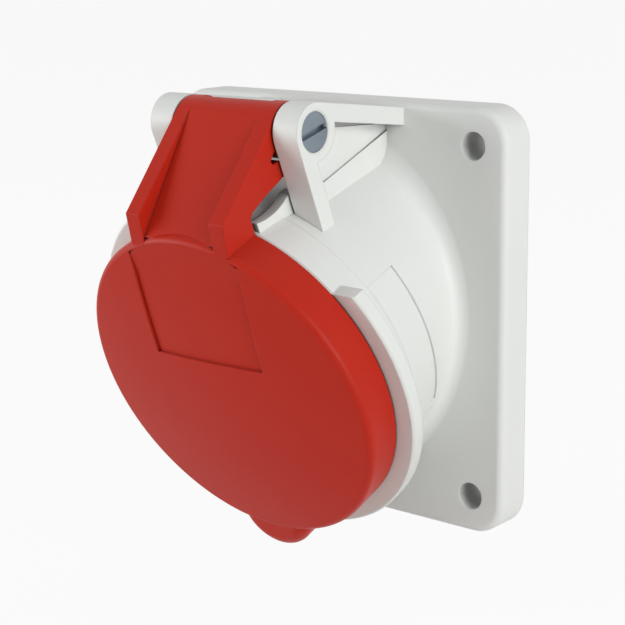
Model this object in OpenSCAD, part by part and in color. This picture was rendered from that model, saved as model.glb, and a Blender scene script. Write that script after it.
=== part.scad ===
// Inclined panel socket with a sprung hinged lid, for a round five-pole power plug.
// The origin is the centre of the flange's back face. +Y points into the panel and +Z is up.

/* [Flange] */
// Side of the square flange
flange_size = 85; // [84.5:0.5:90]
// Thickness of the flange
flange_t = 8; // [7:0.25:10]
// Radius of the flange's corners, seen from the front
flange_corner_r = 7; // [6:0.5:9]
// Rounding of the flange's front edge
flange_edge_r = 1.5; // [1:0.1:3]
// Distance of the fixing holes from the flange's edges
hole_inset = 7.5; // [7:0.25:8.5]
// Diameter of the fixing holes
hole_d = 5.5; // [4.5:0.1:6]
// Fillet between the body and the flange
flare_r = 3.5; // [2:0.25:4]

/* [Socket axis] */
// Downward tilt of the socket's axis
tilt = 22; // [19:0.5:24]
// Distance of the rim's centre in front of the panel
rim_out = 33.2; // [32:0.1:35]
// Drop of the rim's centre below the flange's centre
rim_drop = 8.7; // [8:0.1:10]

/* [Body] */
// Radius of the bore that takes the plug's shroud
bore_r = 28.5; // [28:0.1:28.8]
// Wall of the collar at its rim
collar_wall = 5.5; // [5:0.1:6]
// Length of the collar's front band
band_l = 8; // [6:0.5:9]
// Taper of the body behind the front band, in degrees
body_taper = 4.2; // [3.5:0.1:4.5]
// Depth of the plug's recess behind the rim
recess_depth = 28; // [26:0.5:28.5]
// Wall of the sealing lip
lip_wall = 2.3; // [1.8:0.1:2.4]
// Height of the sealing lip over the rim
lip_h = 3; // [2:0.25:3.5]
// Depth of the plain field sunk into the body's right side
side_field_depth = 0.35; // [0.2:0.05:0.6]
// Length of that field along the socket's axis
side_field_l = 8.3; // [6:0.1:10]
// Width of the guard ring outside the collar
ring_w = 4.1; // [3:0.1:5]
// Thickness of the guard ring
ring_t = 3; // [2:0.25:4]
// Height of the guard ring's right end over the socket's axis
ring_end_v = 21; // [15:1:25]
// Distance of the guard ring's left end from the middle
ring_end_x = 14.5; // [13:0.5:18]

/* [Hinge] */
// Distance of the hinge axis above the lid's edge, in the lid's plane
hinge_over = 10.8; // [10:0.1:11.5]
// Distance of the hinge axis behind the rim
hinge_back = 16.3; // [15.5:0.1:17]
// Play between the lid's arm and each ear
ear_play = 0.5; // [0.4:0.1:1]
// Thickness of the ears across the hinge
ear_t = 5.8; // [5.5:0.1:6.5]
// Radius of the ears' round ends
ear_boss_r = 5.5; // [5:0.1:6]
// Height of the ears' top rib
ear_rib_h = 3.5; // [2.5:0.25:4.5]
// Width of the ears' strut
ear_strut_w = 3.7; // [3:0.1:4.5]
// Thickness of the ears' web
ear_web_t = 1.2; // [1:0.1:2]
// Diameter of the hinge pin
pin_d = 4.5; // [4:0.1:4.8]
// Diameter of the hinge pin's head
pin_head_d = 7.5; // [7:0.1:8]
// Length of the hinge pin's head
pin_head_l = 4.4; // [3.5:0.1:4.6]
// Wire of the hinge spring
spring_wire = 1; // [0.8:0.05:1.1]
// Turns of the hinge spring
spring_turns = 9; // [6:1:11]

/* [Lid] */
// Reach of the lid's edge beyond the collar
lid_lap = 0.3; // [0.1:0.1:1]
// Height of the lid's dome over the rim
dome_h = 10.5; // [10:0.1:11.5]
// Radius of the dome's curve
dome_r = 250; // [200:10:350]
// Rounding of the dome's edge
dome_edge_r = 1.5; // [0.8:0.1:2]
// Wall of the lid
lid_wall = 2.2; // [1.8:0.1:2.3]
// Thickness of the lid's gasket
lid_gasket_t = 2.2; // [1.5:0.1:2.5]
// Width of the raised field on the lid
pad_w = 27.4; // [20:0.2:30]
// Height of the raised field's lower edge over the lid's middle
pad_low = 8; // [6:0.5:12]
// Distance of the raised field's upper end from the lid's edge
pad_inset = 1.2; // [1:0.1:4]
// Rise of the raised field
pad_rise = 0.4; // [0.2:0.05:0.6]
// Radius of the thumb tab
tab_r = 8.5; // [7:0.5:10]
// Reach of the thumb tab beyond the lid's edge
tab_reach = 5.7; // [4:0.1:7]

/* [Hinge arm] */
// Distance of the arm's outer faces from the middle
arm_half_w = 12.4; // [11.5:0.1:14]
// Thickness of the arm's ribs
arm_rib_t = 3.4; // [2.5:0.1:3.6]
// Thickness of the web between the ribs
arm_web_t = 1.8; // [1.4:0.1:2]
// Radius of the arm's barrel round the pin
arm_barrel_r = 5.4; // [5:0.1:5.6]
// Reach of the arm's knee beyond the lid's edge
knee_reach = 3.65; // [2.5:0.05:4.5]
// Distance of the knee behind the edge of the dome
knee_set = 1.15; // [0.5:0.05:2]

/* [Contacts] */
// Gap between the bore and the contact carrier's spigot, for the plug's shroud
shroud_gap = 5.1; // [4.5:0.1:5.5]
// Distance of the contact circle inside the spigot's edge
contact_inset = 7.4; // [7:0.1:7.9]
// Diameter of the plug's phase and neutral pins
pin_hole_d = 5.2; // [5:0.05:5.4]
// Diameter of the plug's earth pin
earth_hole_d = 7.2; // [7:0.05:7.4]
// Wall of the contact sleeves
sleeve_wall = 1; // [0.8:0.05:1.1]
// Distance of the spigot's front face behind the rim
spigot_set = 5; // [4:0.5:7]
// Thickness of the contact carrier's base
carrier_base_t = 4; // [3.5:0.25:4.5]
// Wall of the terminal block round its widest terminal
block_wall = 0.65; // [0.5:0.05:1.5]
// Length of the terminal block
block_l = 15; // [14:0.5:16]

/* [Gaskets] */
// Width of the flange outside its gasket's groove
groove_rim = 1.9; // [1.5:0.1:2.1]
// Width of the flange gasket's groove
groove_w = 3; // [2.5:0.1:3.2]
// Depth of the flange gasket's groove
groove_depth = 2.2; // [1.5:0.1:2.5]

/* [Hidden] */

$fn = 96;

housing_grey = "#dcdedb";
lid_red = "#b5342a";
rubber_black = "#2b2c2e";
pin_steel = "#8e9aa3";
insert_grey = "#4a4d50";
contact_brass = "#c8a24a";

// Clearances
rest_gap = 0.3;
running_gap = 0.05;
seat_gap = 0.15;
gasket_gap = 0.2;
overlap = 0.5;
big = 200;
full_turn = 360;

// Flange
half_flange = flange_size / 2;
half_holes = half_flange - hole_inset;
corner_inset = flange_corner_r - flange_edge_r;
corner_wall = 2.6;
corner_floor = 3.5;
hole_boss_wall = 2.4;
groove_out_r = half_flange - groove_rim;
groove_r = groove_out_r - groove_w;
groove_wall = 1.8;

// Body, as radii and distances along the socket's axis
collar_r = bore_r + collar_wall;
ring_r = collar_r + ring_w;
ring_root = 2;
shoulder_n = -rest_gap;
band_taper = 0.6;
band_step = 0.4;
band_r = collar_r - band_taper;
body_r = band_r - band_step;
body_n = -band_l - band_step;
side_field_n = body_n - band_step;
side_field_from = -24;
side_field_span = 56;
taper_k = tan(body_taper);
lip_r = bore_r + lip_wall;
collar_edge_r = 0.5;
ring_chamfer = 0.4;
seat_ledge = 0.6;
seat_r = bore_r + seat_ledge;
tube_wall = 1.7;
tube_r = seat_r + tube_wall;
base_n = -recess_depth;
block_n = base_n - carrier_base_t;
tube_tail = 4;
tube_n = block_n - tube_tail;
lug_n = block_n - seat_gap;
lug_l = 3;
lug_land = 1;
lug_reach = 1.1;
lug_span = 14;
lug_angles = [90, 205, 335];
key_w = 8.4;
key_depth = 1.5;
flare_steps = 6;
flare_sides = 64;
flare_sink = 0.15;
flare_lift = flare_sink / 3;
flare_root = 1;

// Hinge
lid_r = collar_r + lid_lap;
hinge_rise = lid_r + hinge_over;
hinge_n = -hinge_back;
pin_r = pin_d / 2;
pin_bore_r = pin_r + running_gap;
pin_head_r = pin_head_d / 2;
head_bore_r = pin_head_r + running_gap;
head_chamfer = 0.35;
ear_in = arm_half_w + ear_play;
ear_out = ear_in + ear_t;
pin_sink = 0.5;
pin_head_x = ear_out - pin_sink - pin_head_l;
pin_slot_w = 1.1;
pin_slot_depth = 1.2;
pin_slot_turn = 16;
ear_foot_v = 20;
ear_foot_t = 0.4;
ear_foot_rise = 1.3;
ear_foot_top = collar_r - ear_foot_rise;
rib_drop = 1;
rib_end_z = half_flange - rib_drop;
rib_root = 4;
rib_fall = 0.5;
rail_w = 2.4;
rail_rise = 0.4;
rail_top = collar_r + rail_rise;
rail_front_n = -1.2;
rail_back_n = -13;
rail_dip = 1.4;
rail_dip_r = 13.4;
rail_dip_n = -5.4;
arm_rib_in = arm_half_w - arm_rib_t;
spring_room = 0.35;
spring_r = pin_r + spring_wire / 2 + spring_room;
spring_side_gap = 1.2;
spring_half_l = arm_rib_in - spring_side_gap;
spring_pocket_gap = 0.55;
spring_pocket_r = spring_r + spring_wire / 2 + spring_pocket_gap;
spring_lean = 6;
spring_leg_l = 9;
spring_leg_gap = 0.6;
spring_steps = 16;
spring_sides = 8;

// Lid
dome_center = dome_h - dome_r;
edge_center_n = dome_center + sqrt(pow(dome_r - dome_edge_r, 2) - pow(lid_r - dome_edge_r, 2));
edge_join_r = (lid_r - dome_edge_r) * dome_r / (dome_r - dome_edge_r);
dome_edge_n = dome_center + sqrt(pow(dome_r, 2) - pow(edge_join_r, 2));
skirt_r = lid_r - lid_wall;
gasket_reach = 0.9;
gasket_in_r = bore_r - gasket_reach;
gasket_low_n = lip_h + gasket_gap;
gasket_high_n = gasket_low_n + lid_gasket_t;
pad_slope = 0.3;
tab_v = tab_r - lid_r - tab_reach;
tab_low_n = 1.5;
tab_step = 0.2;
tab_high_n = dome_edge_n - tab_step;
tab_edge_r = 3;
tab_blend_r = 3;

// Arm, in the plane across the hinge: [distance along the lid, distance outwards]
knee = [lid_r + knee_reach, dome_edge_n - knee_set];
web_foot_set = [0.9, 0.7];
web_foot = [lid_r, dome_edge_n] - web_foot_set;
rib_foot_set = [1.2, -0.5];
rib_foot = web_foot - rib_foot_set;
web_root_set = [2, 3];
web_root = web_foot - web_root_set;
hinge_at = [hinge_rise, hinge_n];
web_top = touch(web_foot, hinge_at, arm_barrel_r, 1);
web_turn = atan2(web_foot[1] - web_top[1], web_top[0] - web_foot[0]);
spring_leg_turn = web_turn - spring_lean;
arm_corner_reach = 1.8;
arm_corner = [lid_r + arm_corner_reach, 0];
arm_corner_cut = [0.8, 0.9];
arm_heel_set = [1, 11.4];
arm_heel = [arm_corner[0], hinge_n] + arm_heel_set;
arm_sector = 102;
// Notch in the arm's ribs over the barrel, as steps from the hinge axis
rib_notch = [[-1.3, 5.25], [-2.75, 7.15], [-3.65, 6.85], [-3.7, 5], [-5.4, 3.5], [-6.7, 3.5], [-7.2, 5.9]];

// Contacts, as distances along the socket's axis
spigot_r = bore_r - shroud_gap;
contact_circle_r = spigot_r - contact_inset;
contact_names = ["pe", "n", "l1", "l2", "l3"];
contact_turn = [-90, -162, -234, -306, -18];
entry_l = 6;
sleeve_set = 0.8;
sleeve_n = -spigot_set - entry_l - sleeve_set;
sleeve_slit_l = 10;
sleeve_slit_w = 0.8;
sleeve_gap = 0.9;
sleeve_floor = 1;
collar_l = 4;
spring_ring_t = 0.6;
spring_ring_l = 3.2;
spring_ring_set = 2;
spring_ring_span = 310;
terminal_lip = 0.15;
block_r = contact_circle_r + terminal_r(0) + block_wall;
block_floor = 2;
terminal_l = block_l - block_floor;
wire_hole_d = 4.2;
wire_hole_l = 9.5;
wire_entry_d = 6.2;
clamp_d = 3.9;
clamp_l = 3.2;
clamp_set = 8;
clamp_n = block_n - clamp_set;
clamp_back = 0.2;
clamp_slot = 0.8;
clamp_access_d = 5;
block_screw_d = 3.9;
block_screw_reach = 8;
block_screw_room = 1;
block_screw_head_r = 3.6;
block_screw_head_l = 2.2;
screw_gap = 0.1;

// Point of the plane across the hinge, from the lid's own directions to the flange's [y, z]
function on_side(p) = [
    -rim_out - p[0] * sin(tilt) - p[1] * cos(tilt),
    -rim_drop + p[0] * cos(tilt) - p[1] * sin(tilt)
];

// Point where a line from p touches a circle of radius r round c, on the side that turn gives
function touch(p, c, r, turn) =
    let (d = norm(c - p), a = atan2(c[1] - p[1], c[0] - p[0]) + turn * asin(r / d), l = sqrt(d * d - r * r))
    p + l * [cos(a), sin(a)];

// Radius of a contact's pin hole, sleeve and bore
function pin_hole_r(i) = (i == 0 ? earth_hole_d : pin_hole_d) / 2;
function sleeve_r(i) = pin_hole_r(i) + sleeve_wall;
function carrier_bore_r(i) = sleeve_r(i) + sleeve_gap;
function terminal_r(i) = carrier_bore_r(i) + terminal_lip;

// Frames: z out of the panel, and z out of the socket along its axis with y up in the lid's plane
module on_panel() {
    rotate([90, 0, 0]) children();
}

module on_axis() {
    translate([0, -rim_out, -rim_drop]) rotate([90 + tilt, 0, 0]) children();
}

// An outline across the hinge, extruded from one distance from the middle to another
module across(x_from, x_to) {
    translate([x_from, 0, 0]) rotate([90, 0, 90]) linear_extrude(x_to - x_from) children();
}

// A round bar along the hinge axis
module hinge_bar(r, x_from, x_to) {
    on_axis() translate([x_from, hinge_rise, hinge_n]) rotate([0, 90, 0])
        cylinder(r = r, h = x_to - x_from);
}

// What lies at contact i, with z along the socket's axis
module at_contact(i) {
    on_axis() rotate([0, 0, contact_turn[i]]) translate([contact_circle_r, 0, 0]) children();
}

// A round plug from one distance along the axis to another
module plug(r, n_from, n_to) {
    translate([0, 0, n_from]) cylinder(r = r, h = n_to - n_from);
}

module rounded_square(half, r) {
    inner = half - r;
    square([2 * half, 2 * inner], center = true);
    square([2 * inner, 2 * half], center = true);
    for (x = [-inner, inner], y = [-inner, inner]) translate([x, y]) circle(r);
}

// Quarter of a disc in the first quadrant
module quarter_disc(r) {
    intersection() {
        circle(r);
        square(r);
    }
}

// Profile of the flange's rounded edge, with a root that reaches into the flange
module edge_profile(root) {
    translate([-root, 0]) square([root, flange_edge_r]);
    quarter_disc(flange_edge_r);
}

// Flange with round corners and a rounded front edge
module flange_plate() {
    flat_half = half_flange - flange_edge_r;
    side_l = flange_size - 2 * flange_corner_r;
    corner_at = half_flange - flange_corner_r;
    edge_z = flange_t - flange_edge_r;
    on_panel() {
        linear_extrude(edge_z) rounded_square(half_flange, flange_corner_r);
        linear_extrude(flange_t) rounded_square(flat_half, corner_inset);
        for (turn = [0 : 90 : 270]) rotate([0, 0, turn]) {
            translate([flat_half, side_l / 2, edge_z]) rotate([90, 0, 0])
                linear_extrude(side_l) edge_profile(overlap);
            translate([corner_at, corner_at, edge_z])
                rotate_extrude() translate([corner_inset, 0]) edge_profile(corner_inset);
        }
    }
}

// Radius of the tapered body at a distance along the axis
function body_r_at(n) = body_r + taper_k * (n - body_n);

// Tapered body and collar, solid, up to the middle of the flange
module body_solid() {
    back_n = -big / 3;
    intersection() {
        on_axis() rotate_extrude() polygon([
            [0, lip_h],
            [lip_r, lip_h],
            [lip_r, shoulder_n],
            [collar_r - collar_edge_r, shoulder_n],
            [collar_r, shoulder_n - collar_edge_r],
            [band_r, -band_l],
            [body_r, body_n],
            [body_r_at(back_n), back_n],
            [0, back_n]
        ]);
        translate([-big / 2, -big - flange_t / 2, -big / 2]) cube(big);
    }
    on_axis() plug(tube_r, tube_n, base_n);
}

// Ellipse of the tapered body in a plane at y, swollen by out
function body_ellipse(y, out) =
    let (
        dy = y + rim_out,
        r0 = body_r_at(0),
        high = (r0 + (sin(tilt) - taper_k * cos(tilt)) * dy) / (cos(tilt) + taper_k * sin(tilt)),
        low = (-r0 + (sin(tilt) + taper_k * cos(tilt)) * dy) / (cos(tilt) - taper_k * sin(tilt)),
        mid = (high + low) / 2,
        v = mid * cos(tilt) - dy * sin(tilt),
        n = -mid * sin(tilt) - dy * cos(tilt),
        half_x = sqrt(pow(body_r_at(n), 2) - v * v)
    )
    [for (i = [0 : flare_sides - 1])
        let (a = full_turn * i / flare_sides)
        [(half_x + out) * cos(a), y, mid - rim_drop + ((high - low) / 2 + out) * sin(a)]];

// Fillet that spreads the body onto the flange
module base_flare() {
    front_y = -flange_t - flare_r;
    rings = concat(
        [body_ellipse(front_y - flare_root, -flare_root)],
        [for (i = [0 : flare_steps])
            let (a = 90 * i / flare_steps)
            body_ellipse(front_y + flare_r * sin(a) + flare_lift, flare_r * (1 - cos(a)) - flare_sink)],
        [body_ellipse(-flange_t / 2, flare_r - flare_sink)]
    );
    last = (len(rings) - 1) * flare_sides;
    points = [for (ring = rings) each ring];
    sides = [for (k = [0 : len(rings) - 2], i = [0 : flare_sides - 1])
        let (j = (i + 1) % flare_sides, a = k * flare_sides, b = a + flare_sides)
        [a + i, a + j, b + j, b + i]];
    caps = [
        [for (i = [flare_sides - 1 : -1 : 0]) i],
        [for (i = [0 : flare_sides - 1]) last + i]
    ];
    polyhedron(points, concat(sides, caps));
}

// Sunk field on the body's right side, behind the front band
module side_field() {
    back_n = side_field_n - side_field_l;
    on_axis() rotate([0, 0, side_field_from]) rotate_extrude(angle = side_field_span) polygon([
        [body_r_at(side_field_n) - side_field_depth, side_field_n],
        [body_r + overlap, side_field_n],
        [body_r + overlap, back_n],
        [body_r_at(back_n) - side_field_depth, back_n]
    ]);
}

// Guard ring round the collar, open at the top right
module guard_ring() {
    back_n = shoulder_n - ring_t;
    inner_r = collar_r - ring_root;
    on_axis() difference() {
        rotate_extrude() polygon([
            [inner_r, back_n],
            [ring_r, back_n],
            [ring_r, shoulder_n - ring_chamfer],
            [ring_r - ring_chamfer, shoulder_n],
            [inner_r, shoulder_n]
        ]);
        translate([-ring_end_x, ring_end_v, -big / 2]) cube(big);
    }
}

// Outline of an ear's full frame: round end, top rib and strut
module ear_frame() {
    boss = on_side(hinge_at);
    rib_end = [-flange_t, rib_end_z];
    rib_start = touch(rib_end, boss, ear_boss_r, -1);
    strut_front = hinge_n + ear_boss_r;
    strut_back = strut_front - ear_strut_w;
    translate(boss) circle(ear_boss_r);
    polygon([
        rib_start,
        rib_end,
        rib_end + [rib_root, -rib_fall],
        rib_end + [rib_root, -ear_rib_h - rib_fall],
        rib_end - [0, ear_rib_h],
        rib_start - [0, ear_rib_h]
    ]);
    polygon([
        on_side([hinge_rise, strut_front]),
        on_side([ear_foot_v, strut_front]),
        on_side([ear_foot_v, strut_back]),
        on_side([hinge_rise, strut_back])
    ]);
}

// Outline of an ear's thin web, down into the body
module ear_web() {
    strut_mid = hinge_n + ear_boss_r - ear_strut_w / 2;
    polygon([
        on_side(hinge_at),
        [-flange_t + rib_root, rib_end_z - ear_rib_h],
        [-flange_t + rib_root, ear_foot_v],
        on_side([ear_foot_v, strut_mid]),
        on_side([hinge_rise, strut_mid])
    ]);
}

// Outline of the thicker foot of that web, along the collar
module ear_foot() {
    intersection() {
        ear_web();
        polygon([
            on_side([ear_foot_top, big]),
            on_side([ear_foot_top, -big]),
            on_side([0, -big]),
            on_side([0, big])
        ]);
    }
}

module hinge_ears() {
    for (side = [0, 1]) mirror([side, 0, 0]) {
        across(ear_in, ear_out) ear_frame();
        across(ear_in, ear_in + ear_web_t) ear_web();
        across(ear_in, ear_in + ear_web_t + ear_foot_t) ear_foot();
    }
}

// Two rails with hollow tops on the collar, under the arm's ribs
module arm_rails() {
    rail_in = arm_half_w - rail_w;
    for (side = [0, 1]) mirror([side, 0, 0]) on_axis() translate([rail_in, 0, 0]) difference() {
        translate([0, bore_r, rail_back_n]) cube([rail_w, rail_top - bore_r, rail_front_n - rail_back_n]);
        translate([-overlap, rail_top - rail_dip + rail_dip_r, rail_dip_n]) rotate([0, 90, 0])
            cylinder(r = rail_dip_r, h = rail_w + 2 * overlap);
    }
}

// Lugs behind the contact carrier's base
module carrier_lugs() {
    wall_r = seat_r + overlap;
    for (a = lug_angles) on_axis() rotate([0, 0, a - lug_span / 2]) rotate_extrude(angle = lug_span)
        polygon([
            [wall_r, lug_n],
            [seat_r - lug_reach, lug_n],
            [seat_r - lug_reach, lug_n - lug_land],
            [wall_r, lug_n - lug_l]
        ]);
}

// Hollows in the flange's back, outside the gasket's groove
module corner_pockets() {
    on_panel() translate([0, 0, -overlap]) linear_extrude(flange_t - corner_floor + overlap) difference() {
        rounded_square(half_flange - corner_wall, flange_corner_r - corner_wall);
        circle(groove_out_r + groove_wall);
        for (x = [-half_holes, half_holes], y = [-half_holes, half_holes])
            translate([x, y]) circle(hole_d / 2 + hole_boss_wall);
    }
}

module fixing_holes() {
    on_panel() for (x = [-half_holes, half_holes], y = [-half_holes, half_holes])
        translate([x, y, -overlap]) cylinder(d = hole_d, h = flange_t + 2 * overlap);
}

module gasket_groove() {
    on_panel() translate([0, 0, -overlap]) difference() {
        cylinder(r = groove_out_r, h = groove_depth + overlap);
        cylinder(r = groove_r, h = groove_depth + overlap);
    }
}

module housing() {
    color(housing_grey) {
        difference() {
            union() {
                flange_plate();
                body_solid();
                base_flare();
                guard_ring();
                hinge_ears();
                arm_rails();
            }
            on_axis() plug(bore_r, base_n - overlap, lip_h + overlap);
            on_axis() plug(seat_r, -big / 2, base_n);
            on_axis() translate([-key_w / 2, -bore_r - key_depth, base_n])
                cube([key_w, bore_r, lip_h - base_n + overlap]);
            hinge_bar(pin_bore_r, -ear_out - overlap, ear_out + overlap);
            hinge_bar(head_bore_r, pin_head_x - running_gap, ear_out + overlap);
            on_axis() translate([ear_out - head_chamfer, hinge_rise, hinge_n]) rotate([0, 90, 0])
                cylinder(r1 = head_bore_r, r2 = head_bore_r + 2 * head_chamfer, h = 2 * head_chamfer);
            side_field();
            corner_pockets();
            fixing_holes();
            gasket_groove();
        }
        carrier_lugs();
    }
}

// Half section of the lid's outside: skirt, rounded edge and dome
module lid_section() {
    square([lid_r, edge_center_n]);
    translate([lid_r - dome_edge_r, edge_center_n]) circle(dome_edge_r);
    intersection() {
        translate([0, dome_center]) circle(dome_r, $fn = 1440);
        square([edge_join_r, big]);
    }
}

// Half section of the lid's hollow, with the gasket's seat round it
module lid_hollow_section() {
    translate([0, -overlap]) square([skirt_r, gasket_high_n + overlap]);
    intersection() {
        translate([0, dome_center]) circle(dome_r - lid_wall, $fn = 1440);
        square([gasket_in_r, big]);
    }
}

// Outline of the arm's ribs, across the hinge
module arm_rib() {
    polygon(concat(
        [
            [skirt_r - overlap, 0],
            [skirt_r - overlap, rib_foot[1]],
            rib_foot,
            knee,
            touch(knee, hinge_at, arm_barrel_r, 1),
            hinge_at
        ],
        [for (step = rib_notch) hinge_at + step],
        [
            arm_heel,
            arm_corner - [0, arm_corner_cut[1]],
            arm_corner - [arm_corner_cut[0], 0]
        ]
    ));
    translate(hinge_at) circle(arm_barrel_r);
}

// Outline of the plate between the ribs, with its shell over the spring
module arm_web() {
    along = (web_top - web_foot) / norm(web_top - web_foot);
    inwards = [along[1], -along[0]] * arm_web_t;
    polygon([web_foot, web_top, web_top + inwards, web_foot + 2 * inwards - along, web_root]);
    translate(hinge_at) intersection() {
        circle(arm_barrel_r);
        polygon([
            [0, 0],
            big * [sin(web_turn), cos(web_turn)],
            big * [1, 0],
            big * [sin(arm_sector), cos(arm_sector)]
        ]);
    }
}

// Rounded thumb tab with its concave blends to the lid's edge
module thumb_tab() {
    reach = lid_r + tab_blend_r;
    side = tab_r + tab_blend_r;
    drop = (reach * reach - side * side + tab_v * tab_v) / (-2 * tab_v);
    blend_at = [sqrt(reach * reach - drop * drop), -drop];
    translate([0, tab_v, tab_low_n]) rotate_extrude() {
        square([tab_r, tab_high_n - tab_low_n - tab_edge_r]);
        square([tab_r - tab_edge_r, tab_high_n - tab_low_n]);
        translate([tab_r - tab_edge_r, tab_high_n - tab_low_n - tab_edge_r]) quarter_disc(tab_edge_r);
    }
    for (side_turn = [0, 1]) mirror([side_turn, 0, 0])
        translate([0, 0, tab_low_n]) linear_extrude(tab_high_n - tab_low_n - tab_edge_r) difference() {
            polygon([[0, 0], [0, tab_v], blend_at]);
            translate(blend_at) circle(tab_blend_r);
        }
}

// Raised field on the dome, with sloping sides, up to the lid's edge
module raised_field() {
    field_r = lid_r - pad_inset;
    field_h = field_r - pad_low;
    intersection() {
        translate([0, 0, dome_center]) sphere(dome_r + pad_rise, $fn = 720);
        cylinder(r = field_r, h = big);
        translate([0, pad_low + field_h / 2, 0]) hull() {
            translate([0, 0, gasket_high_n + lid_wall])
                cube([pad_w + 2 * pad_slope, field_h + 2 * pad_slope, pad_slope], center = true);
            translate([0, 0, dome_h + pad_rise]) cube([pad_w, field_h, pad_slope], center = true);
        }
    }
}

module lid() {
    color(lid_red) difference() {
        on_axis() union() {
            rotate_extrude() lid_section();
            for (side = [0, 1]) mirror([side, 0, 0]) across(arm_rib_in, arm_half_w) arm_rib();
            across(-arm_rib_in, arm_rib_in) arm_web();
            thumb_tab();
            raised_field();
        }
        on_axis() rotate_extrude() lid_hollow_section();
        hinge_bar(pin_bore_r, -ear_in, ear_in);
        hinge_bar(spring_pocket_r, -arm_rib_in, arm_rib_in);
    }
}

module lid_gasket() {
    color(rubber_black) on_axis() difference() {
        plug(skirt_r - gasket_gap, gasket_low_n, gasket_high_n);
        plug(gasket_in_r, gasket_low_n - overlap, gasket_high_n + overlap);
    }
}

module hinge_pin() {
    head_end = ear_out - pin_sink;
    color(pin_steel) difference() {
        union() {
            hinge_bar(pin_head_r, pin_head_x, head_end);
            hinge_bar(pin_r, -ear_out + pin_sink, pin_head_x);
        }
        on_axis() translate([head_end, hinge_rise, hinge_n]) rotate([pin_slot_turn - tilt - 90, 0, 0])
            cube([2 * pin_slot_depth, big, pin_slot_w], center = true);
    }
}

// Path of the hinge spring in the lid's directions: leg on the lid, turns, leg on the body
function spring_path() =
    let (
        start = spring_leg_turn,
        end = full_turn * (spring_turns + 1 / 2),
        count = round((end - start) / full_turn * spring_steps),
        leg_end = body_r_at(hinge_n - spring_r) + spring_wire / 2 - spring_leg_gap
    )
    concat(
        [[-spring_half_l, spring_r, start, spring_leg_l]],
        [for (i = [0 : count])
            let (k = i / count)
            [spring_half_l * (2 * k - 1), spring_r, start + (end - start) * k, 0]],
        [[spring_half_l, spring_r, end, leg_end - hinge_rise]]
    );

// Ring of points round a place on the path: [x, radius, angle, distance along the tangent]
function spring_ring(p) =
    let (
        out = [0, sin(p[2]), cos(p[2])],
        back = [0, -cos(p[2]), sin(p[2])],
        centre = [p[0], hinge_rise, hinge_n] + p[1] * out + p[3] * back
    )
    [for (i = [0 : spring_sides - 1])
        let (a = full_turn * i / spring_sides)
        centre + spring_wire / 2 * (cos(a) * out + [sin(a), 0, 0])];

module hinge_spring() {
    path = spring_path();
    last = (len(path) - 1) * spring_sides;
    points = [for (p = path) each spring_ring(p)];
    sides = [for (k = [0 : len(path) - 2], i = [0 : spring_sides - 1])
        let (j = (i + 1) % spring_sides, a = k * spring_sides, b = a + spring_sides)
        [a + i, a + j, b + j, b + i]];
    caps = [
        [for (i = [spring_sides - 1 : -1 : 0]) i],
        [for (i = [0 : spring_sides - 1]) last + i]
    ];
    color(pin_steel) on_axis() polyhedron(points, concat(sides, caps));
}

module flange_gasket() {
    color(rubber_black) on_panel() difference() {
        cylinder(r = groove_out_r - seat_gap, h = groove_depth);
        translate([0, 0, -overlap]) cylinder(r = groove_r + seat_gap, h = groove_depth + 2 * overlap);
    }
}

module contact_carrier() {
    color(insert_grey) difference() {
        on_axis() union() {
            plug(spigot_r, base_n, -spigot_set);
            plug(seat_r - seat_gap, block_n, base_n);
        }
        for (i = [0 : 4]) at_contact(i) {
            plug(pin_hole_r(i) + seat_gap, base_n, -spigot_set + overlap);
            plug(carrier_bore_r(i), block_n - overlap, -spigot_set - entry_l);
        }
        on_axis() plug(block_screw_d / 2 + screw_gap, block_n - overlap,
            block_n + block_screw_reach + block_screw_room);
    }
}

module terminal_block() {
    rear_n = block_n - block_l;
    color(insert_grey) difference() {
        on_axis() plug(block_r, rear_n, block_n);
        for (i = [0 : 4]) at_contact(i) {
            plug(terminal_r(i) + seat_gap, block_n - terminal_l - seat_gap, block_n + overlap);
            plug(wire_entry_d / 2, rear_n - overlap, block_n);
            translate([0, 0, clamp_n]) rotate([0, 90, 0]) cylinder(d = clamp_access_d, h = block_r);
        }
        on_axis() plug(block_screw_d / 2 + screw_gap, rear_n - overlap, block_n + overlap);
    }
}

module block_screw() {
    rear_n = block_n - block_l;
    color(pin_steel) on_axis() difference() {
        union() {
            plug(block_screw_d / 2, rear_n - overlap, block_n + block_screw_reach);
            plug(block_screw_head_r, rear_n - block_screw_head_l, rear_n);
        }
        translate([0, 0, rear_n - block_screw_head_l])
            cube([big, pin_slot_w, pin_slot_depth * 2], center = true);
    }
}

// Slotted sleeve for a plug's pin, with its screw terminal behind the carrier
module contact(i) {
    slit_n = sleeve_n - sleeve_slit_l;
    color(contact_brass) at_contact(i) difference() {
        union() {
            plug(sleeve_r(i), block_n - overlap, sleeve_n);
            plug(carrier_bore_r(i) - seat_gap, block_n - overlap, block_n + collar_l);
            plug(terminal_r(i), block_n - terminal_l, block_n);
        }
        plug(pin_hole_r(i), block_n + sleeve_floor, sleeve_n + overlap);
        for (turn = [0, 90]) rotate([0, 0, turn]) translate([-sleeve_slit_w / 2, -big / 2, slit_n])
            cube([sleeve_slit_w, big, sleeve_slit_l + overlap]);
        plug(wire_hole_d / 2, block_n - terminal_l - overlap, block_n - terminal_l + wire_hole_l);
        translate([0, 0, clamp_n]) rotate([0, 90, 0]) cylinder(d = clamp_d + 2 * running_gap, h = big / 10);
    }
}

// Open steel ring that presses a sleeve together
module sleeve_spring(i) {
    ring_n = sleeve_n - spring_ring_set - spring_ring_l;
    color(pin_steel) at_contact(i) translate([0, 0, ring_n]) rotate_extrude(angle = spring_ring_span)
        translate([sleeve_r(i) + running_gap, 0]) square([spring_ring_t, spring_ring_l]);
}

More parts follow.
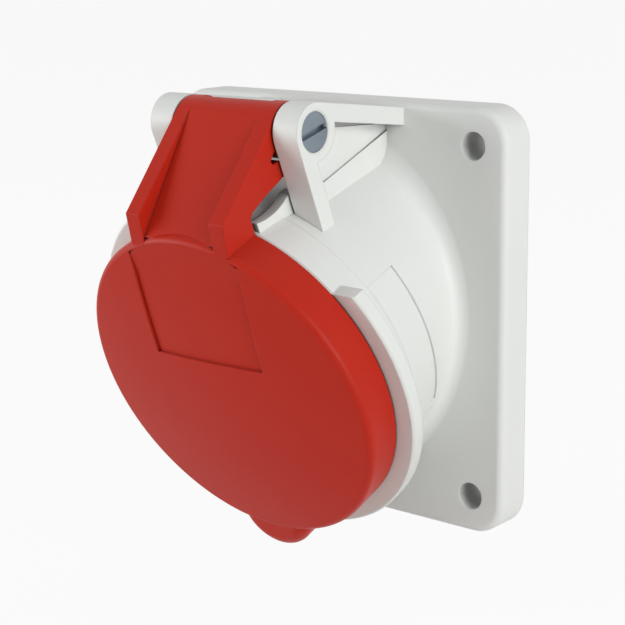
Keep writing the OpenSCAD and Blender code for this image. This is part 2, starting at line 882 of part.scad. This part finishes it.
module terminal_screws() {
    color(pin_steel) for (i = [0 : 4]) at_contact(i) translate([wire_hole_d / 2 + clamp_back, 0, clamp_n])
        rotate([0, 90, 0]) difference() {
            cylinder(d = clamp_d, h = clamp_l);
            translate([0, 0, clamp_l]) cube([big, clamp_slot, 2 * clamp_slot], center = true);
        }
}

housing();
lid();
lid_gasket();
hinge_pin();
hinge_spring();
flange_gasket();
contact_carrier();
terminal_block();
block_screw();
terminal_screws();
for (i = [0 : 4]) contact(i);
for (i = [0 : 4]) sleeve_spring(i);
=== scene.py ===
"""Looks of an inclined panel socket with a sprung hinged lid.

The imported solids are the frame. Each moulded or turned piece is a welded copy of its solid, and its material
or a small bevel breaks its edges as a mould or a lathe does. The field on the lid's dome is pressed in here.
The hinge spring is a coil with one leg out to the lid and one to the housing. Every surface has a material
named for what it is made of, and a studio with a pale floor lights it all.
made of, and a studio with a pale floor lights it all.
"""

import logging
import math
from dataclasses import dataclass
from enum import Enum
from typing import Any, Dict, Optional, Sequence, Tuple

import bmesh
import bpy
from mathutils import Matrix, Vector


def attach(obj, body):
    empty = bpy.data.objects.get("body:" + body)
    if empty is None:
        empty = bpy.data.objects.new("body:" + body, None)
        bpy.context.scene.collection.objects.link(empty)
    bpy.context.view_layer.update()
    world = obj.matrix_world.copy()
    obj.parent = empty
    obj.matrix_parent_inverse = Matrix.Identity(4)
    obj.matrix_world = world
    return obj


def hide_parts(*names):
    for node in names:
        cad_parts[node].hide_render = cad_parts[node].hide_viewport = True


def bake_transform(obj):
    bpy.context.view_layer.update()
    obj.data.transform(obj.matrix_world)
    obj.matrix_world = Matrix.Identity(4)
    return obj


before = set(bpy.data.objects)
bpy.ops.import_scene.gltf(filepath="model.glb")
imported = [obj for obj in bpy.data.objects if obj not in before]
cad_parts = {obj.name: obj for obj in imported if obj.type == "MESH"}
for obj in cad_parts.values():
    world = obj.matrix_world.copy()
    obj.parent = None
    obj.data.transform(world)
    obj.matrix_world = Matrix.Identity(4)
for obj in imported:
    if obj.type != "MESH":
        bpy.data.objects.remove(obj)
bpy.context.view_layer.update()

LOG = logging.getLogger("socket")
MM = 0.001
POLES = ("pe", "n", "l1", "l2", "l3")
WHITE = "#ffffff"
Color = Tuple[float, float, float, float]
Point = Tuple[float, float, float]
Span = Tuple[float, float]

# The lid's tilt and the hinge's axis, as in the solids.
LID_TILT_DEG = 22.0
HINGE_AXIS_MM = (0.0, -34.98, 39.22)

# Points closer than the first are merged, and slivers thinner than the second are closed up.
WELD_MM = 0.002
SLIVER_MM = 0.02

# Shares of open sky at which the painted shade in a crease or a hollow is darkest, and at which the plastic
# keeps its own colour.
CREASE_SHADE_SKY = (0.4, 0.85)
HOLLOW_SHADE_SKY = (0.08, 0.38)
SKY_SAMPLES = 8
EDGE_SAMPLES = 8

# Finer layers in a cloud of colour, in a grain or tool mark, and in the pores of rubber.
CLOUD_DETAIL = 2.0
GRAIN_DETAIL = 3.0
PORE_DETAIL = 4.0

POLYAMIDE_IOR = 1.53
# The wave texture goes through this angle over one unit of length.
WAVE_RADIANS = 20.0


class Body(Enum):
    """The two rigid bodies of the socket."""

    HOUSING = "housing"
    LID = "lid"


class Slot(Enum):
    """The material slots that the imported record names."""

    HOUSING = "housing_plastic"
    LID = "lid_plastic"
    RUBBER = "gasket_rubber"
    PIN = "pin_steel"
    SPRING = "spring_steel"
    SCREW = "screw_steel"
    BRASS = "contact_brass"
    INSERT = "insert_plastic"


def hex_color(code: str) -> Color:
    """Turns an sRGB hex value into a linear colour.

    Args:
        code: the colour as "#rrggbb".

    Returns:
        Linear red, green and blue, and an alpha of 1.
    """
    channels = [int(code[i:i + 2], 16) / 255 for i in (1, 3, 5)]
    linear = [c / 12.92 if c <= 0.04045 else ((c + 0.055) / 1.055) ** 2.4 for c in channels]
    return (linear[0], linear[1], linear[2], 1.0)


def add_node(
    tree: bpy.types.NodeTree,
    kind: str,
    inputs: Optional[Dict[Any, Any]] = None,
    **settings: Any,
) -> bpy.types.Node:
    """Adds a shader node with its settings, and fills its sockets with values or links.

    Args:
        tree: the node tree to add to.
        kind: the node's type.
        inputs: a value or another node's output for each named or numbered socket.
        settings: properties of the node.

    Returns:
        The new node.
    """
    node = tree.nodes.new(kind)
    for name, value in settings.items():
        setattr(node, name, value)
    for name, value in (inputs or {}).items():
        if isinstance(value, bpy.types.NodeSocket):
            tree.links.new(value, node.inputs[name])
        else:
            node.inputs[name].default_value = value
    return node


@dataclass(frozen=True)
class Finish:
    """What every finish has: two shades of a colour and a drifting roughness, in clouds of a real size."""

    name: str
    color: str
    shade: str
    roughness: float
    drift: float
    cloud_mm: float

    def start(self) -> Tuple[bpy.types.Material, bpy.types.Node, bpy.types.NodeSocket]:
        """Starts the material with its two shades and its drifting roughness, in soft clouds.

        Returns:
            The material, its shader, and the object coordinates that its patterns read.
        """
        material = bpy.data.materials.new(self.name)
        material.use_nodes = True
        tree = material.node_tree
        shader = tree.nodes["Principled BSDF"]
        where = add_node(tree, "ShaderNodeTexCoord").outputs["Object"]
        cloud = self.noise(tree, where, self.cloud_mm, CLOUD_DETAIL)
        tint = add_node(
            tree, "ShaderNodeMix",
            {0: cloud, 6: hex_color(self.color), 7: hex_color(self.shade)}, data_type="RGBA",
        )
        rough = add_node(
            tree, "ShaderNodeMapRange",
            {"Value": cloud, "To Min": self.roughness - self.drift, "To Max": self.roughness + self.drift},
        )
        tree.links.new(tint.outputs[2], shader.inputs["Base Color"])
        tree.links.new(rough.outputs["Result"], shader.inputs["Roughness"])
        return material, shader, where

    @staticmethod
    def noise(
        tree: bpy.types.NodeTree, where: bpy.types.NodeSocket, size_mm: float, detail: float
    ) -> bpy.types.NodeSocket:
        """Adds a noise of a real size.

        Args:
            tree: the node tree to add to.
            where: the coordinates that it reads.
            size_mm: width of one cloud or grain.
            detail: how many finer layers it has.

        Returns:
            The noise's output.
        """
        grain = add_node(
            tree, "ShaderNodeTexNoise", {"Vector": where, "Scale": 1 / (size_mm * MM), "Detail": detail},
        )
        return grain.outputs["Fac"]

    @staticmethod
    def emboss(
        shader: bpy.types.Node, height: bpy.types.NodeSocket, depth_mm: float, edge_mm: float = 0.0
    ) -> None:
        """Lets a pattern stand out of the surface, and catches the light on edges that are not quite sharp.

        Args:
            shader: the material's shader.
            height: the pattern.
            depth_mm: its depth from low to high.
            edge_mm: radius to which the edges look rounded.
        """
        tree = shader.id_data
        bump = add_node(
            tree, "ShaderNodeBump", {"Height": height, "Strength": 1.0, "Distance": depth_mm * MM})
        if edge_mm:
            rounded = add_node(tree, "ShaderNodeBevel", {"Radius": edge_mm * MM}, samples=EDGE_SAMPLES)
            tree.links.new(rounded.outputs["Normal"], bump.inputs["Normal"])
        tree.links.new(bump.outputs["Normal"], shader.inputs["Normal"])


@dataclass(frozen=True)
class MouldedPlastic(Finish):
    """Injection moulded plastic: the grain of a spark-eroded mould breaks its gloss into a soft satin.

    Its edges look slightly rounded, and painted shade darkens its colour in creases and hollows.
    """

    grain_mm: float
    grain_depth_mm: float
    specular: float
    edge_mm: float
    crease_shade: str
    crease_shade_mm: float
    hollow_shade: str
    hollow_shade_mm: float

    def material(self) -> bpy.types.Material:
        """Makes the material.

        Returns:
            The material.
        """
        material, shader, where = self.start()
        shader.inputs["IOR"].default_value = POLYAMIDE_IOR
        shader.inputs["Specular IOR Level"].default_value = self.specular
        grain = self.noise(shader.id_data, where, self.grain_mm, GRAIN_DETAIL)
        self.emboss(shader, grain, self.grain_depth_mm, self.edge_mm)
        # Painted shade: the colour darkens in creases, and further in hollows such as the fixing holes.
        self.paint_shade(shader, self.crease_shade, self.crease_shade_mm, CREASE_SHADE_SKY)
        self.paint_shade(shader, self.hollow_shade, self.hollow_shade_mm, HOLLOW_SHADE_SKY)
        return material

    @staticmethod
    def paint_shade(shader: bpy.types.Node, color: str, reach_mm: float, light: Span) -> None:
        """Paints shade into the plastic's colour where walls close by block the sky, as ambient occlusion
        does.

        Args:
            shader: the material's shader.
            color: the colour of the painted shade where it is darkest.
            reach_mm: how far away a wall still counts.
            light: the shares of open sky at which the plastic is darkest, and at which it keeps its colour.
        """
        tree = shader.id_data
        sky = add_node(tree, "ShaderNodeAmbientOcclusion", {"Distance": reach_mm * MM}, samples=SKY_SAMPLES)
        share = add_node(
            tree, "ShaderNodeMapRange",
            {"Value": sky.outputs["AO"], "From Min": light[0], "From Max": light[1]},
        )
        tint = shader.inputs["Base Color"].links[0].from_socket
        shaded = add_node(
            tree, "ShaderNodeMix",
            {0: share.outputs["Result"], 6: hex_color(color), 7: tint}, data_type="RGBA",
        )
        tree.links.new(shaded.outputs[2], shader.inputs["Base Color"])


@dataclass(frozen=True)
class TurnedMetal(Finish):
    """Metal off a lathe: fine rings round its axis spread the light."""

    axis_at_mm: Point
    axis_turn_deg: Point
    ring_mm: float
    ring_depth_mm: float
    wobble: float = 1.2

    def material(self) -> bpy.types.Material:
        """Makes the material.

        Returns:
            The material.
        """
        material, shader, where = self.start()
        tree = shader.id_data
        shader.inputs["Metallic"].default_value = 1.0
        centred = add_node(
            tree, "ShaderNodeMapping",
            {
                "Vector": where,
                "Location": [c * MM for c in self.axis_at_mm],
                "Rotation": [math.radians(a) for a in self.axis_turn_deg],
            },
            vector_type="TEXTURE",
        )
        rings = add_node(
            tree, "ShaderNodeTexWave",
            {
                "Vector": centred.outputs["Vector"],
                "Scale": 2 * math.pi / (WAVE_RADIANS * self.ring_mm * MM),
                "Distortion": self.wobble,
            },
            wave_type="RINGS", rings_direction="Z",
        )
        self.emboss(shader, rings.outputs["Fac"], self.ring_depth_mm)
        return material


@dataclass(frozen=True)
class DrawnMetal(Finish):
    """Drawn, pressed or finely turned metal: an even surface with faint blotches and tool marks."""

    mark_mm: float
    mark_depth_mm: float

    def material(self) -> bpy.types.Material:
        """Makes the material.

        Returns:
            The material.
        """
        material, shader, where = self.start()
        shader.inputs["Metallic"].default_value = 1.0
        marks = self.noise(shader.id_data, where, self.mark_mm, GRAIN_DETAIL)
        self.emboss(shader, marks, self.mark_depth_mm)
        return material


@dataclass(frozen=True)
class Rubber(Finish):
    """Pressed sealing rubber: dull and black, with a dusty bloom in soft patches."""

    pore_mm: float
    pore_depth_mm: float
    specular: float = 0.3

    def material(self) -> bpy.types.Material:
        """Makes the material.

        Returns:
            The material.
        """
        material, shader, where = self.start()
        shader.inputs["Specular IOR Level"].default_value = self.specular
        pores = self.noise(shader.id_data, where, self.pore_mm, PORE_DETAIL)
        self.emboss(shader, pores, self.pore_depth_mm)
        return material


# Grain is drawn a little coarser than a mould's real 0.05 mm, so that it shows at this size.

# Pale and satin, with soft shade painted into its corners and deep shade painted into its fixing holes.
HOUSING_PLASTIC = MouldedPlastic(
    name="moulded_grey_white_polyamide", color="#e6e8e5", shade="#e2e4e1",
    roughness=0.42, drift=0.04, cloud_mm=18, specular=0.35,
    grain_mm=0.25, grain_depth_mm=0.003, edge_mm=0.35,
    crease_shade="#cdcfcb", crease_shade_mm=0.4, hollow_shade="#2e2f2e", hollow_shade_mm=14,
)
# Deep signal red with a faint sheen, and painted shade that draws a dark red line where faces meet.
LID_PLASTIC = MouldedPlastic(
    name="moulded_red_polyamide", color="#bd2917", shade="#b82615",
    roughness=0.42, drift=0.04, cloud_mm=18, specular=0.14,
    grain_mm=0.25, grain_depth_mm=0.003, edge_mm=0.35,
    crease_shade="#5e0803", crease_shade_mm=0.6, hollow_shade="#2a0402", hollow_shade_mm=14,
)
# Dark and matt, with painted shade deepening its hollows, so that the contacts' holes read as black.
INSERT_PLASTIC = MouldedPlastic(
    name="moulded_dark_grey_polyamide", color="#3b3e41", shade="#36393c",
    roughness=0.46, drift=0.05, cloud_mm=12, specular=0.4,
    grain_mm=0.3, grain_depth_mm=0.006, edge_mm=0.3,
    crease_shade="#222426", crease_shade_mm=0.8, hollow_shade="#121314", hollow_shade_mm=14,
)
# Dull black with a greyish bloom.
SEAL_RUBBER = Rubber(
    name="pressed_black_rubber", color="#1b1c1e", shade="#262728",
    roughness=0.66, drift=0.06, cloud_mm=6, pore_mm=0.4, pore_depth_mm=0.01,
)
# Bluish grey, with the fine rings of the lathe on its end.
PIN_STEEL = TurnedMetal(
    name="zinc_plated_turned_steel", color="#9aa5af", shade="#8e99a5",
    roughness=0.34, drift=0.05, cloud_mm=3,
    axis_at_mm=HINGE_AXIS_MM, axis_turn_deg=(0, 90, 0), ring_mm=0.22, ring_depth_mm=0.004,
)
# Brighter than the pin, with faint blotches from the plating bath.
SCREW_STEEL = DrawnMetal(
    name="zinc_plated_pressed_steel", color="#b3bac0", shade="#a4acb4",
    roughness=0.36, drift=0.06, cloud_mm=2, mark_mm=0.3, mark_depth_mm=0.004,
)
# Dark and oily, so that the coil stays quiet behind the arm.
SPRING_STEEL = DrawnMetal(
    name="oil_tempered_spring_steel", color="#5c5f62", shade="#505356",
    roughness=0.36, drift=0.05, cloud_mm=2, mark_mm=0.3, mark_depth_mm=0.003,
)
# Warm and bright, the only yellow of the part.
CONTACT_BRASS = DrawnMetal(
    name="turned_brass", color="#dcb65e", shade="#cfa549",
    roughness=0.26, drift=0.05, cloud_mm=3, mark_mm=0.3, mark_depth_mm=0.003,
)


def across_hinge(turn_deg: float) -> Vector:
    """Gives a direction square to the hinge.

    Args:
        turn_deg: its turn from the lid's outward direction towards the lid's upward direction.

    Returns:
        The direction.
    """
    turn = math.radians(turn_deg - LID_TILT_DEG)
    return Vector((0, -math.cos(turn), math.sin(turn)))


def merged_solid(node: str) -> bmesh.types.BMesh:
    """Copies a solid's loose triangles into one closed mesh.

    Args:
        node: the solid's name.

    Returns:
        The closed mesh, which the caller frees.
    """
    bm = bmesh.new()
    bm.from_mesh(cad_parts[node].data)
    bmesh.ops.remove_doubles(bm, verts=bm.verts, dist=WELD_MM * MM)
    bmesh.ops.dissolve_degenerate(bm, edges=bm.edges, dist=SLIVER_MM * MM)
    return bm


def show(name: str, bm: bmesh.types.BMesh, material: bpy.types.Material) -> bpy.types.Object:
    """Makes an object at the origin from a mesh, and frees the mesh.

    Args:
        name: the piece's name.
        bm: its mesh, in place.
        material: its material.

    Returns:
        The object.
    """
    mesh = bpy.data.meshes.new(name)
    bm.to_mesh(mesh)
    bm.free()
    # The normals that a solid brings along no longer fit once its points are merged.
    if mesh.has_custom_normals:
        mesh.attributes.remove(mesh.attributes["custom_normal"])
    mesh.materials.append(material)
    piece = bpy.data.objects.new(name, mesh)
    bpy.context.collection.objects.link(piece)
    return piece


def smooth(mesh: bpy.types.Mesh, sharp_deg: float) -> None:
    """Shades a mesh smooth, but for its sharp edges.

    Args:
        mesh: the mesh.
        sharp_deg: the angle from which an edge is sharp.
    """
    mesh.shade_smooth()
    mesh.set_sharp_from_angle(angle=math.radians(sharp_deg))


def dress(node: str, material: bpy.types.Material) -> None:
    """Gives a solid that is shown as it is its material.

    Args:
        node: the solid's name.
        material: its material.
    """
    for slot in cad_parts[node].material_slots:
        slot.material = material
    LOG.info("%s dressed in %s", node, material.name)


@dataclass(frozen=True)
class WeldedPiece:
    """A piece that is its solid, welded into one closed surface and smoothly shaded."""

    name: str
    node: str
    body: Body
    slot: Slot
    sharp_deg: float = 32.0

    def build(self, material: bpy.types.Material) -> bpy.types.Object:
        """Shapes the piece, puts it in the solid's place and dresses it.

        Args:
            material: its material.

        Returns:
            The piece.
        """
        piece = show(self.name, self.shape(), material)
        smooth(piece.data, self.sharp_deg)
        even = piece.modifiers.new("even_shading", "WEIGHTED_NORMAL")
        even.keep_sharp = True
        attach(piece, self.body.value)
        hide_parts(self.node)
        LOG.info("%s has %d faces", self.name, len(piece.data.polygons))
        return piece

    def shape(self) -> bmesh.types.BMesh:
        """Copies the solid.

        Returns:
            The piece's mesh.
        """
        return merged_solid(self.node)


@dataclass(frozen=True)
class SunkFieldLid(WeldedPiece):
    """The lid's moulding, with the field on its dome pressed in, running out to the dome at its upper end."""

    middle_mm: Point = (0.0, -33.2, -8.7)
    dome_h_mm: float = 10.5
    dome_r_mm: float = 250.0
    field_rise_mm: float = 0.4
    field_depth_mm: float = 0.55
    field_low_mm: float = 7.5
    field_half_w_mm: float = 14.0
    field_reach_mm: float = 33.1
    lip_mm: float = 0.08
    ramp_mm: float = 4.2
    slack_mm: float = 0.05

    def shape(self) -> bmesh.types.BMesh:
        """Copies the solid and presses the field in.

        Returns:
            The piece's mesh.
        """
        bm = merged_solid(self.node)
        outward = across_hinge(0)
        upward = across_hinge(90)
        for vert in bm.verts:
            place = vert.co / MM - Vector(self.middle_mm)
            side, height = place.x, place.dot(upward)
            above_dome = (place - outward * (self.dome_h_mm - self.dome_r_mm)).length - self.dome_r_mm
            on_top = abs(above_dome - self.field_rise_mm) < self.slack_mm
            if on_top and height > self.field_low_mm and abs(side) < self.field_half_w_mm:
                vert.co -= outward * (self.field_rise_mm + self.depth(math.hypot(side, height))) * MM
        return bm

    def depth(self, reach_mm: float) -> float:
        """Gives the field's depth below the dome.

        Args:
            reach_mm: distance from the lid's axis.

        Returns:
            The depth in mm.
        """
        share = min(max((self.field_reach_mm - reach_mm) / self.ramp_mm, 0), 1)
        return self.lip_mm + (self.field_depth_mm - self.lip_mm) * share


@dataclass(frozen=True)
class RoundedPiece(WeldedPiece):
    """A piece whose sharp edges are cut to a small round as well."""

    edge_mm: float = 0.3
    segments: int = 3
    flat_deg: float = 0.3

    def shape(self) -> bmesh.types.BMesh:
        """Copies the solid and bevels its sharp edges.

        Returns:
            The piece's mesh.
        """
        bm = merged_solid(self.node)
        bmesh.ops.dissolve_limit(
            bm, angle_limit=math.radians(self.flat_deg), verts=bm.verts, edges=bm.edges)
        sharp = [edge for edge in bm.edges if edge.calc_face_angle(0) > math.radians(self.sharp_deg)]
        bmesh.ops.bevel(
            bm, geom=sharp, offset=self.edge_mm * MM, offset_type="OFFSET", affect="EDGES",
            segments=self.segments, profile=0.5, material=-1, clamp_overlap=True,
        )
        bmesh.ops.remove_doubles(bm, verts=bm.verts, dist=WELD_MM * MM)
        return bm


@dataclass
class HousingShell:
    """The grey-white moulding that carries everything, and the gasket behind its flange."""

    shell: WeldedPiece = WeldedPiece("housing_moulding", "housing", Body.HOUSING, Slot.HOUSING)
    gasket: WeldedPiece = RoundedPiece("flange_seal", "flange_gasket", Body.HOUSING, Slot.RUBBER, edge_mm=0.5)

    def build(self, plastic: bpy.types.Material, rubber: bpy.types.Material) -> None:
        """Builds the shell and its gasket.

        Args:
            plastic: the shell's material.
            rubber: the gasket's material.
        """
        self.shell.build(plastic)
        self.gasket.build(rubber)


@dataclass
class HingedLid:
    """The red lid with its arm, and the gasket inside it."""

    lid: WeldedPiece = SunkFieldLid("lid_moulding", "lid", Body.LID, Slot.LID)
    gasket: WeldedPiece = RoundedPiece("lid_seal", "lid_gasket", Body.LID, Slot.RUBBER, edge_mm=0.4)

    def build(self, plastic: bpy.types.Material, rubber: bpy.types.Material) -> None:
        """Builds the lid and its gasket.

        Args:
            plastic: the lid's material.
            rubber: the gasket's material.
        """
        self.lid.build(plastic)
        self.gasket.build(rubber)


@dataclass
class Hinge:
    """The slotted pin, and the spring that closes the lid."""

    pin: WeldedPiece = RoundedPiece("slotted_hinge_pin", "hinge_pin", Body.HOUSING, Slot.PIN, edge_mm=0.15)
    axis_mm: Point = HINGE_AXIS_MM
    wire_mm: float = 1.0
    coil_mm: float = 3.1
    half_length_mm: float = 7.8
    turns: int = 9
    lid_leg_turn_deg: float = 45.8
    lid_leg_mm: float = 9.0
    body_leg_mm: float = 13.0
    wire_sides: int = 16
    steps_a_turn: int = 40
    sharp_deg: float = 60.0

    def build(self, pin: bpy.types.Material, wire: bpy.types.Material) -> None:
        """Builds the pin and the spring.

        Args:
            pin: the pin's material.
            wire: the spring's material.
        """
        self.pin.build(pin)
        self.build_spring(wire)

    def build_spring(self, wire: bpy.types.Material) -> None:
        """Winds the spring, with one leg out to the lid and one to the housing.

        Args:
            wire: its material.
        """
        whole_turn = 180 + 360 * self.turns - self.lid_leg_turn_deg
        steps = round(whole_turn / 360 * self.steps_a_turn)
        axis = Vector(self.axis_mm) * MM
        along = Vector((1, 0, 0))
        start = axis - along * self.half_length_mm * MM
        out = across_hinge(self.lid_leg_turn_deg)
        facing = across_hinge(self.lid_leg_turn_deg - 90)
        bm = bmesh.new()
        ring = bmesh.ops.create_circle(bm, segments=self.wire_sides, radius=self.wire_mm / 2 * MM)["verts"]
        bmesh.ops.rotate(bm, verts=ring, matrix=Matrix((along, out, facing)).transposed())
        bmesh.ops.translate(bm, verts=ring, vec=start + out * self.coil_mm * MM)
        loop = bm.edges[:]
        wound = bmesh.ops.spin(
            bm, geom=ring + loop, cent=axis, axis=-along, dvec=along * 2 * self.half_length_mm * MM / steps,
            angle=math.radians(whole_turn), steps=steps, use_merge=False, use_duplicate=False,
        )["geom_last"]
        self.add_leg(bm, loop, facing * self.lid_leg_mm * MM)
        last = [g for g in wound if isinstance(g, bmesh.types.BMEdge)]
        self.add_leg(bm, last, -across_hinge(90) * self.body_leg_mm * MM)
        bmesh.ops.remove_doubles(bm, verts=bm.verts, dist=WELD_MM * MM)
        bmesh.ops.recalc_face_normals(bm, faces=bm.faces)
        piece = show("hinge_spring_coil", bm, wire)
        smooth(piece.data, self.sharp_deg)
        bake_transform(piece)
        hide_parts("hinge_spring")
        LOG.info("hinge_spring_coil has %d faces", len(piece.data.polygons))

    @staticmethod
    def add_leg(bm: bmesh.types.BMesh, loop: Sequence[bmesh.types.BMEdge], reach: Vector) -> None:
        """Draws a straight leg out of the coil's end and closes it.

        Args:
            bm: the spring's mesh.
            loop: the edges of the coil's end.
            reach: the leg, from the coil to its tip.
        """
        drawn = bmesh.ops.extrude_edge_only(bm, edges=list(loop))["geom"]
        bmesh.ops.translate(bm, verts=[g for g in drawn if isinstance(g, bmesh.types.BMVert)], vec=reach)
        bmesh.ops.edgenet_fill(bm, edges=[g for g in drawn if isinstance(g, bmesh.types.BMEdge)])


@dataclass
class ContactInsert:
    """The contact carrier, the terminal block behind it, and the metal parts in them."""

    carrier: WeldedPiece = WeldedPiece(
        "contact_carrier_moulding", "contact_carrier", Body.HOUSING, Slot.INSERT)
    block: WeldedPiece = WeldedPiece("terminal_block_moulding", "terminal_block", Body.HOUSING, Slot.INSERT)

    def build(
        self, plastic: bpy.types.Material, brass: bpy.types.Material,
        wire: bpy.types.Material, screw: bpy.types.Material,
    ) -> None:
        """Builds the two mouldings and dresses the metal parts.

        Args:
            plastic: the mouldings' material.
            brass: the contacts' material.
            wire: the sleeve springs' material.
            screw: the screws' material.
        """
        self.carrier.build(plastic)
        self.block.build(plastic)
        for pole in POLES:
            dress(f"contact_{pole}", brass)
            dress(f"sleeve_spring_{pole}", wire)
        dress("block_screw", screw)
        dress("terminal_screws", screw)


@dataclass(frozen=True)
class Lamp:
    """A square soft lamp that looks at the object: its place and side in metres, its power in watts."""

    name: str
    place: Point
    side: float
    power: float

    def build(self, target: Point) -> None:
        """Hangs the lamp.

        Args:
            target: the point that it looks at.
        """
        data = bpy.data.lights.new(self.name, "AREA")
        data.size = self.side
        data.energy = self.power
        lamp = bpy.data.objects.new(self.name, data)
        lamp.location = self.place
        lamp.rotation_euler = (Vector(target) - Vector(self.place)).to_track_quat("-Z", "Y").to_euler()
        bpy.context.collection.objects.link(lamp)


@dataclass
class Studio:
    """Pale floor, soft lamps, white surroundings and the camera."""

    azimuth_deg: float = 40.0
    elevation_deg: float = 12.94
    roll_deg: float = -0.764
    distance: float = 326.54 * MM
    target: Point = (4.685 * MM, -20.0 * MM, 0.644 * MM)
    lens_mm: float = 93.65
    sensor_mm: float = 36.0
    clip_start: float = 10.0 * MM
    floor_z: float = -60.0 * MM
    floor_side: float = 6.0
    floor_color: str = "#ececea"
    floor_glow: float = 0.92
    ambient: float = 0.3
    backdrop_glow: float = 0.94
    lamps: Tuple[Lamp, ...] = (
        Lamp("key", place=(-0.72, -0.66, 0.02), side=0.7, power=7.5),
        Lamp("right", place=(0.95, -0.2, 0.22), side=0.6, power=5.9),
        Lamp("top", place=(0.1, -0.2, 0.97), side=0.9, power=1.3),
    )

    def build(self) -> None:
        """Makes the camera, the surroundings, the floor and the lamps."""
        self.make_camera()
        self.make_world()
        self.make_floor()
        for lamp in self.lamps:
            lamp.build(self.target)

    def make_camera(self) -> None:
        """Places the camera where the photograph was taken from."""
        azimuth, elevation, roll = (
            math.radians(a) for a in (self.azimuth_deg, self.elevation_deg, self.roll_deg))
        back = Vector((
            math.sin(azimuth) * math.cos(elevation),
            -math.cos(azimuth) * math.cos(elevation),
            math.sin(elevation),
        ))
        right = Vector((0, 0, 1)).cross(back).normalized()
        up = back.cross(right)
        rolled_right = right * math.cos(roll) + up * math.sin(roll)
        rolled_up = up * math.cos(roll) - right * math.sin(roll)
        data = bpy.data.cameras.new("camera")
        data.lens = self.lens_mm
        data.sensor_width = self.sensor_mm
        data.clip_start = self.clip_start
        camera = bpy.data.objects.new("camera", data)
        turn = Matrix((rolled_right, rolled_up, back)).transposed().to_4x4()
        camera.matrix_world = Matrix.Translation(Vector(self.target) + back * self.distance) @ turn
        bpy.context.collection.objects.link(camera)
        bpy.context.scene.camera = camera

    @staticmethod
    def seen(tree: bpy.types.NodeTree) -> bpy.types.NodeSocket:
        """Adds the test for rays that show the surroundings to the eye, also in metal and through glass.

        Args:
            tree: the node tree to add to.

        Returns:
            A socket that is 1 on such rays and 0 on the others.
        """
        path = add_node(tree, "ShaderNodeLightPath").outputs
        direct = add_node(
            tree, "ShaderNodeMath", {0: path["Is Camera Ray"], 1: path["Is Glossy Ray"]}, operation="MAXIMUM")
        either = add_node(
            tree, "ShaderNodeMath",
            {0: direct.outputs[0], 1: path["Is Transmission Ray"]}, operation="MAXIMUM",
        )
        return either.outputs[0]

    def make_world(self) -> None:
        """Makes white surroundings that light the object softly from all sides."""
        world = bpy.data.worlds.new("studio")
        bpy.context.scene.world = world
        world.use_nodes = True
        tree = world.node_tree
        tree.nodes.clear()
        dim = add_node(tree, "ShaderNodeBackground", {"Color": hex_color(WHITE), "Strength": self.ambient})
        white = add_node(
            tree, "ShaderNodeBackground", {"Color": hex_color(WHITE), "Strength": self.backdrop_glow})
        mix = add_node(
            tree, "ShaderNodeMixShader", {0: self.seen(tree), 1: dim.outputs[0], 2: white.outputs[0]})
        add_node(tree, "ShaderNodeOutputWorld", {"Surface": mix.outputs[0]})

    def make_floor(self) -> None:
        """Makes the pale floor, near white to the camera but for the object's soft shadow."""
        bm = bmesh.new()
        bmesh.ops.create_grid(bm, x_segments=1, y_segments=1, size=self.floor_side / 2)
        bmesh.ops.translate(bm, verts=bm.verts, vec=(0, 0, self.floor_z))
        material = bpy.data.materials.new("pale_studio_floor")
        material.use_nodes = True
        tree = material.node_tree
        tree.nodes.clear()
        paint = add_node(tree, "ShaderNodeBsdfDiffuse", {"Color": hex_color(self.floor_color)})
        glow = add_node(tree, "ShaderNodeEmission", {"Color": hex_color(WHITE), "Strength": 1.0})
        share = add_node(
            tree, "ShaderNodeMath", {0: self.seen(tree), 1: self.floor_glow}, operation="MULTIPLY")
        mix = add_node(
            tree, "ShaderNodeMixShader", {0: share.outputs[0], 1: paint.outputs[0], 2: glow.outputs[0]})
        add_node(tree, "ShaderNodeOutputMaterial", {"Surface": mix.outputs[0]})
        show("floor", bm, material)


def main() -> None:
    """Builds the studio and the socket, piece by piece."""
    logging.basicConfig(level=logging.INFO)
    bpy.context.scene.view_settings.view_transform = "Standard"
    Studio().build()
    rubber = SEAL_RUBBER.material()
    wire = SPRING_STEEL.material()
    HousingShell().build(HOUSING_PLASTIC.material(), rubber)
    HingedLid().build(LID_PLASTIC.material(), rubber)
    Hinge().build(PIN_STEEL.material(), wire)
    ContactInsert().build(INSERT_PLASTIC.material(), CONTACT_BRASS.material(), wire, SCREW_STEEL.material())


if __name__ == "__main__":
    main()
